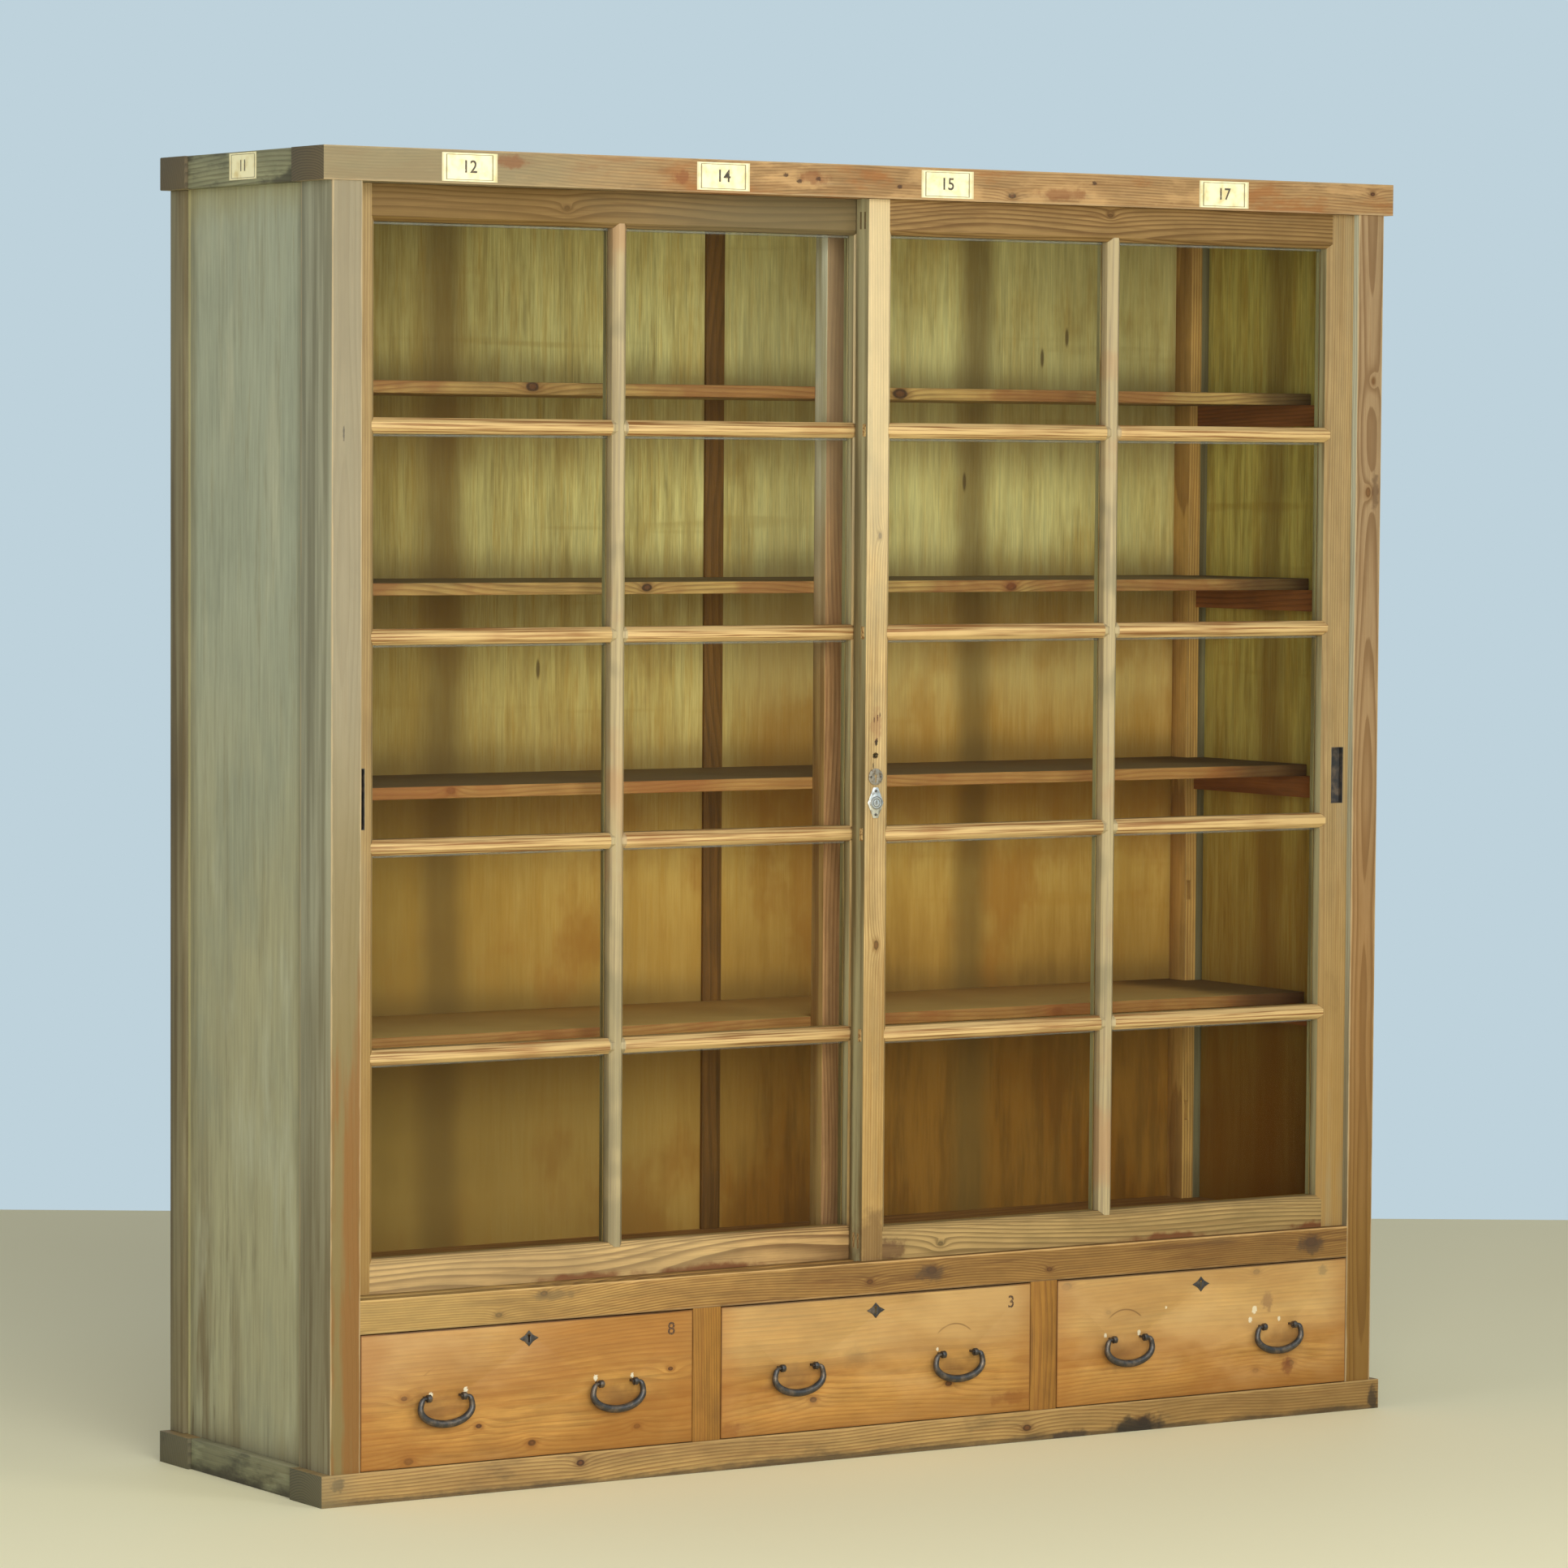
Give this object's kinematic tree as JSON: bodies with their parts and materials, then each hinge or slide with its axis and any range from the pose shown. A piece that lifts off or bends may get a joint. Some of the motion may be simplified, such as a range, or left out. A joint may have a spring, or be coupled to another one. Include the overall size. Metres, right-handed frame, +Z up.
{
  "type": "display cabinet",
  "caption": "Free-standing softwood display cabinet with sliding glazed doors over a row of locking drawers with drop bail handles.",
  "frame": {"origin": "on the floor, at the middle of the overall box", "axes": "+Z up, the front faces -Y, +X to the right seen from the front"},
  "size_m": [1.82, 0.4934, 1.844],
  "materials": {
    "weathered_wood": "matt",
    "plywood": "matt",
    "shelf_wood": "matt",
    "inner_wood": "matt",
    "door_wood": "matt",
    "drawer_wood": "satin",
    "glass": "gloss",
    "black_iron": "satin",
    "nickel": "satin"
  },
  "bodies": {
    "cabinet": {"cornice_front_rail": "weathered_wood", "cornice_back_rail": "weathered_wood", "cornice_cross_rails": "weathered_wood", "top_boards": "weathered_wood", "front_posts": "weathered_wood", "rear_posts": "weathered_wood", "side_panels": "plywood", "back_panels": "plywood", "back_battens": "inner_wood", "door_sill": "weathered_wood", "display_floor": "shelf_wood", "floor_bearers": "inner_wood", "centre_post": "inner_wood", "shelves": "shelf_wood", "shelf_bearers": "inner_wood", "drawer_dividers": "weathered_wood", "drawer_runners": "inner_wood", "drawer_guides": "inner_wood", "plinth_front_rail": "weathered_wood", "plinth_back_rail": "weathered_wood", "plinth_side_rails": "weathered_wood"},
    "right_door": {"right_door_stiles": "door_wood", "right_door_rails": "door_wood", "right_door_glazing_bars": "door_wood", "right_door_panes": "glass", "right_door_glass_beads": "door_wood", "right_door_pull": "black_iron", "door_lock_case": "nickel", "old_lock_plate": "black_iron"},
    "left_door": {"left_door_stiles": "door_wood", "left_door_rails": "door_wood", "left_door_glazing_bars": "door_wood", "left_door_panes": "glass", "left_door_glass_beads": "door_wood", "left_door_pull": "black_iron", "door_lock_strike": "nickel"},
    "lock_plug": {"door_lock_plug": "nickel"},
    "lock_bolt": {"door_lock_bolt": "nickel"},
    "drawer_1": {"drawer_1_front": "drawer_wood", "drawer_1_box": "inner_wood", "drawer_1_bottom": "plywood", "drawer_1_ironwork": "black_iron"},
    "drawer_1_bolt": {"drawer_1_lock_bolt": "black_iron"},
    "drawer_1_bail_a": {"drawer_1_bail_a": "black_iron"},
    "drawer_1_bail_b": {"drawer_1_bail_b": "black_iron"},
    "drawer_2": {"drawer_2_front": "drawer_wood", "drawer_2_box": "inner_wood", "drawer_2_bottom": "plywood", "drawer_2_ironwork": "black_iron"},
    "drawer_2_bolt": {"drawer_2_lock_bolt": "black_iron"},
    "drawer_2_bail_a": {"drawer_2_bail_a": "black_iron"},
    "drawer_2_bail_b": {"drawer_2_bail_b": "black_iron"},
    "drawer_3": {"drawer_3_front": "drawer_wood", "drawer_3_box": "inner_wood", "drawer_3_bottom": "plywood", "drawer_3_ironwork": "black_iron"},
    "drawer_3_bolt": {"drawer_3_lock_bolt": "black_iron"},
    "drawer_3_bail_a": {"drawer_3_bail_a": "black_iron"},
    "drawer_3_bail_b": {"drawer_3_bail_b": "black_iron"}
  },
  "joints": [
    {"name": "left_door_slide", "type": "slide", "parent": "cabinet", "child": "left_door", "axis": [1, 0, 0], "range_m": [0, 0.826]},
    {"name": "right_door_slide", "type": "slide", "parent": "cabinet", "child": "right_door", "axis": [-1, 0, 0], "range_m": [0, 0.826]},
    {"name": "lock_plug_turn", "type": "hinge", "parent": "right_door", "child": "lock_plug", "pos_m": [-0.00425, -0.22025, 0.939], "axis": [0, 1, 0], "range_deg": [0, 90]},
    {"name": "lock_bolt_slide", "type": "slide", "parent": "right_door", "child": "lock_bolt", "axis": [0, 1, 0], "range_m": [0, 0.01]},
    {"name": "drawer_1_slide", "type": "slide", "parent": "cabinet", "child": "drawer_1", "axis": [0, -1, 0], "range_m": [0, 0.32]},
    {"name": "drawer_1_bolt_slide", "type": "slide", "parent": "drawer_1", "child": "drawer_1_bolt", "axis": [0, 0, 1], "range_m": [0, 0.007]},
    {"name": "drawer_1_bail_a_swing", "type": "hinge", "parent": "drawer_1", "child": "drawer_1_bail_a", "pos_m": [-0.72033, -0.24075, 0.14], "axis": [-1, 0, 0], "range_deg": [0, 180]},
    {"name": "drawer_1_bail_b_swing", "type": "hinge", "parent": "drawer_1", "child": "drawer_1_bail_b", "pos_m": [-0.44433, -0.24075, 0.14], "axis": [-1, 0, 0], "range_deg": [0, 180]},
    {"name": "drawer_2_slide", "type": "slide", "parent": "cabinet", "child": "drawer_2", "axis": [0, -1, 0], "range_m": [0, 0.32]},
    {"name": "drawer_2_bolt_slide", "type": "slide", "parent": "drawer_2", "child": "drawer_2_bolt", "axis": [0, 0, 1], "range_m": [0, 0.007]},
    {"name": "drawer_2_bail_a_swing", "type": "hinge", "parent": "drawer_2", "child": "drawer_2_bail_a", "pos_m": [-0.143, -0.24075, 0.14], "axis": [-1, 0, 0], "range_deg": [0, 180]},
    {"name": "drawer_2_bail_b_swing", "type": "hinge", "parent": "drawer_2", "child": "drawer_2_bail_b", "pos_m": [0.133, -0.24075, 0.14], "axis": [-1, 0, 0], "range_deg": [0, 180]},
    {"name": "drawer_3_slide", "type": "slide", "parent": "cabinet", "child": "drawer_3", "axis": [0, -1, 0], "range_m": [0, 0.32]},
    {"name": "drawer_3_bolt_slide", "type": "slide", "parent": "drawer_3", "child": "drawer_3_bolt", "axis": [0, 0, 1], "range_m": [0, 0.007]},
    {"name": "drawer_3_bail_a_swing", "type": "hinge", "parent": "drawer_3", "child": "drawer_3_bail_a", "pos_m": [0.43733, -0.24075, 0.14], "axis": [-1, 0, 0], "range_deg": [0, 180]},
    {"name": "drawer_3_bail_b_swing", "type": "hinge", "parent": "drawer_3", "child": "drawer_3_bail_b", "pos_m": [0.71333, -0.24075, 0.14], "axis": [-1, 0, 0], "range_deg": [0, 180]}
  ],
  "couplings": [
    {"joint": "lock_plug_turn", "follows": "lock_bolt_slide", "rad_per_m": 157.07}
  ]
}
